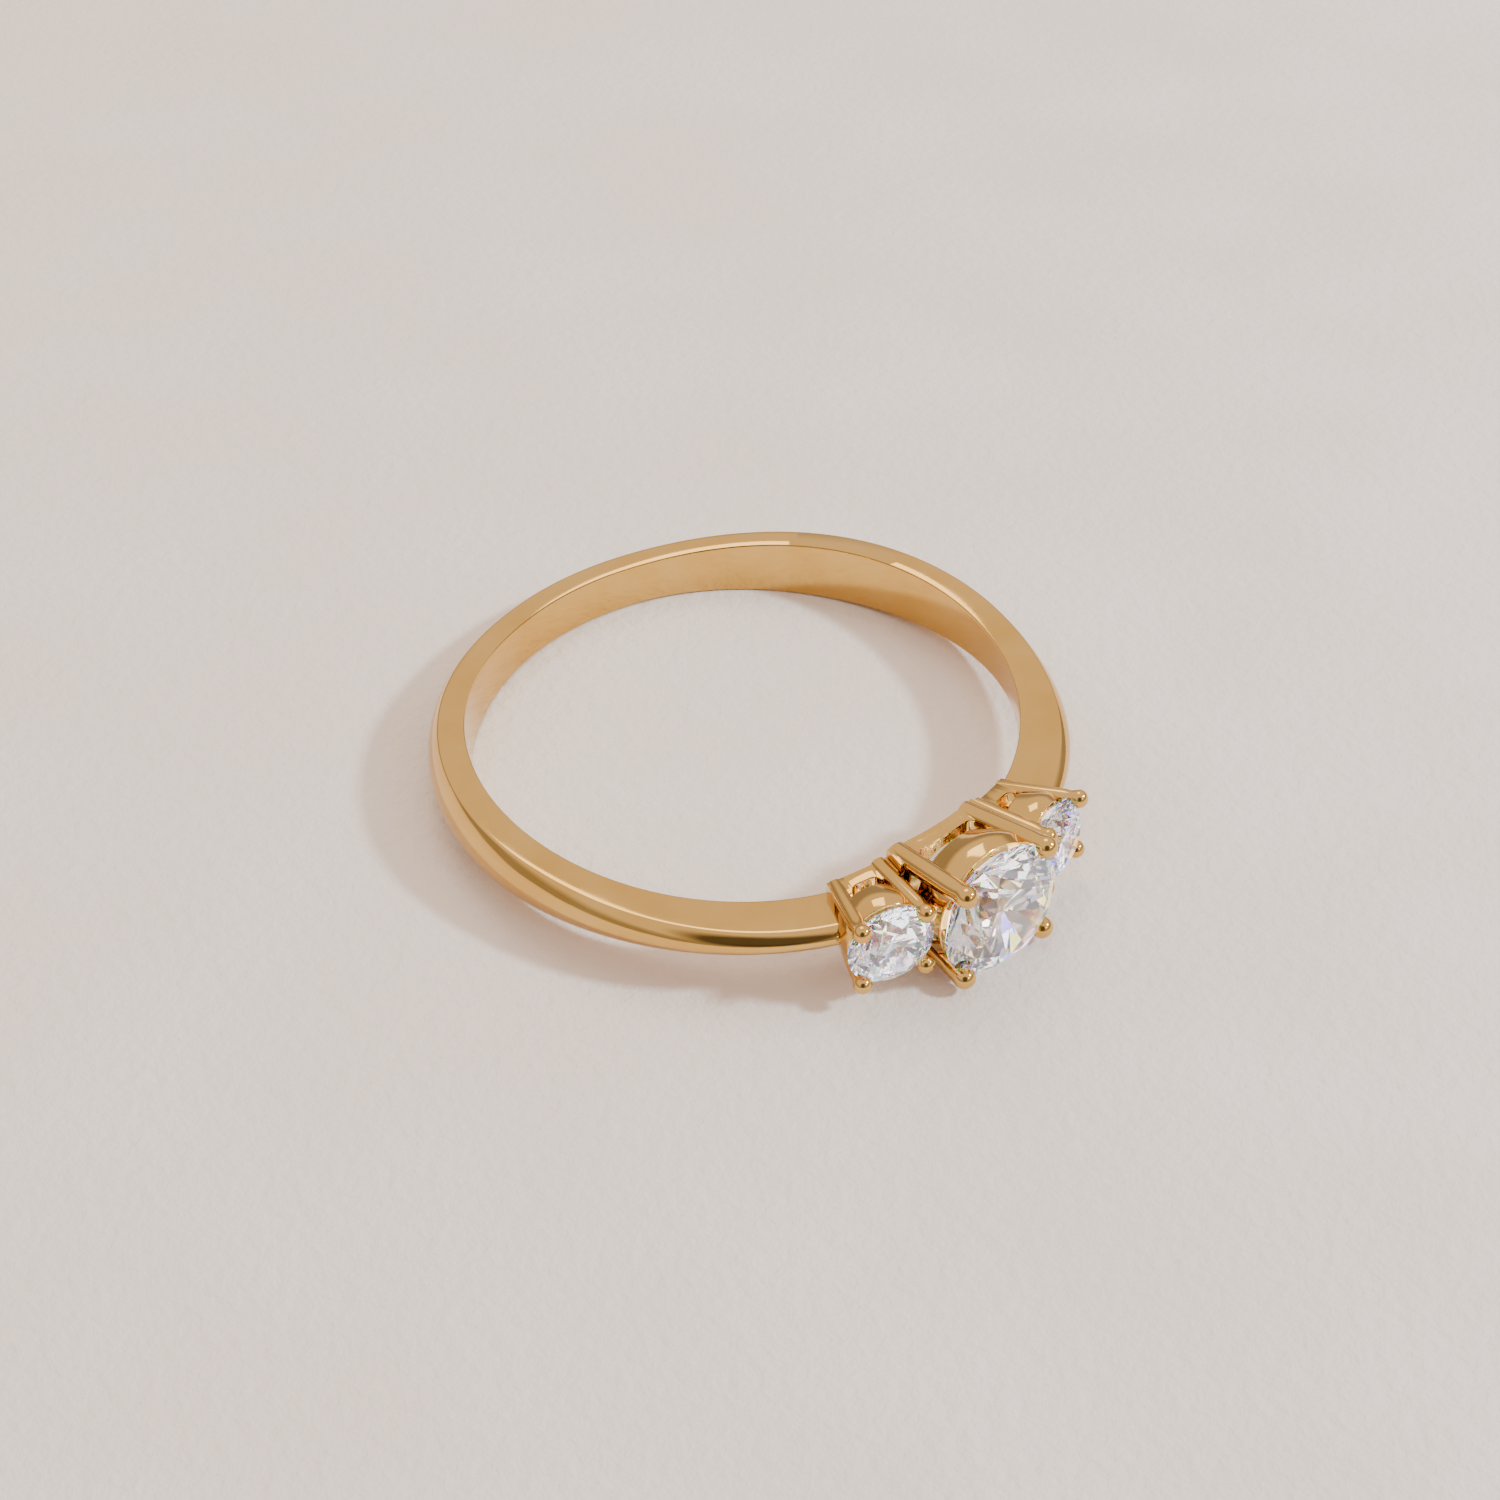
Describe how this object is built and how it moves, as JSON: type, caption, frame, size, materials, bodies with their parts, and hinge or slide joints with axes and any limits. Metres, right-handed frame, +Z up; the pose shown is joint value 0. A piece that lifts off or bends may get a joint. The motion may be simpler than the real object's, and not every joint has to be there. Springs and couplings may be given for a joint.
{
  "type": "engagement ring",
  "caption": "Yellow gold ring lying on its side, with a tapering shank and a row of round stones in prong settings.",
  "frame": {"origin": "centre of the base of the ring's box, on the surface it lies on", "axes": "+Z up from that surface, nearly along the finger; -Y towards the stones, +Y to the back of the shank; +X across"},
  "size_m": [0.0196, 0.022, 0.0042],
  "materials": {
    "gold": "polished 14 carat yellow gold",
    "diamond": "polished, colourless brilliant cut"
  },
  "bodies": {
    "root": {"shank": "gold", "centre_base_rail": "gold", "centre_seat_ring": "gold", "centre_prong_upper_left": "gold", "centre_prong_upper_right": "gold", "centre_prong_lower_left": "gold", "centre_prong_lower_right": "gold", "centre_stone": "diamond", "left_base_rail": "gold", "left_seat_ring": "gold", "left_prong_upper_left": "gold", "left_prong_upper_right": "gold", "left_prong_lower_left": "gold", "left_prong_lower_right": "gold", "left_stone": "diamond", "right_base_rail": "gold", "right_seat_ring": "gold", "right_prong_upper_left": "gold", "right_prong_upper_right": "gold", "right_prong_lower_left": "gold", "right_prong_lower_right": "gold", "right_stone": "diamond"}
  },
  "joints": []
}
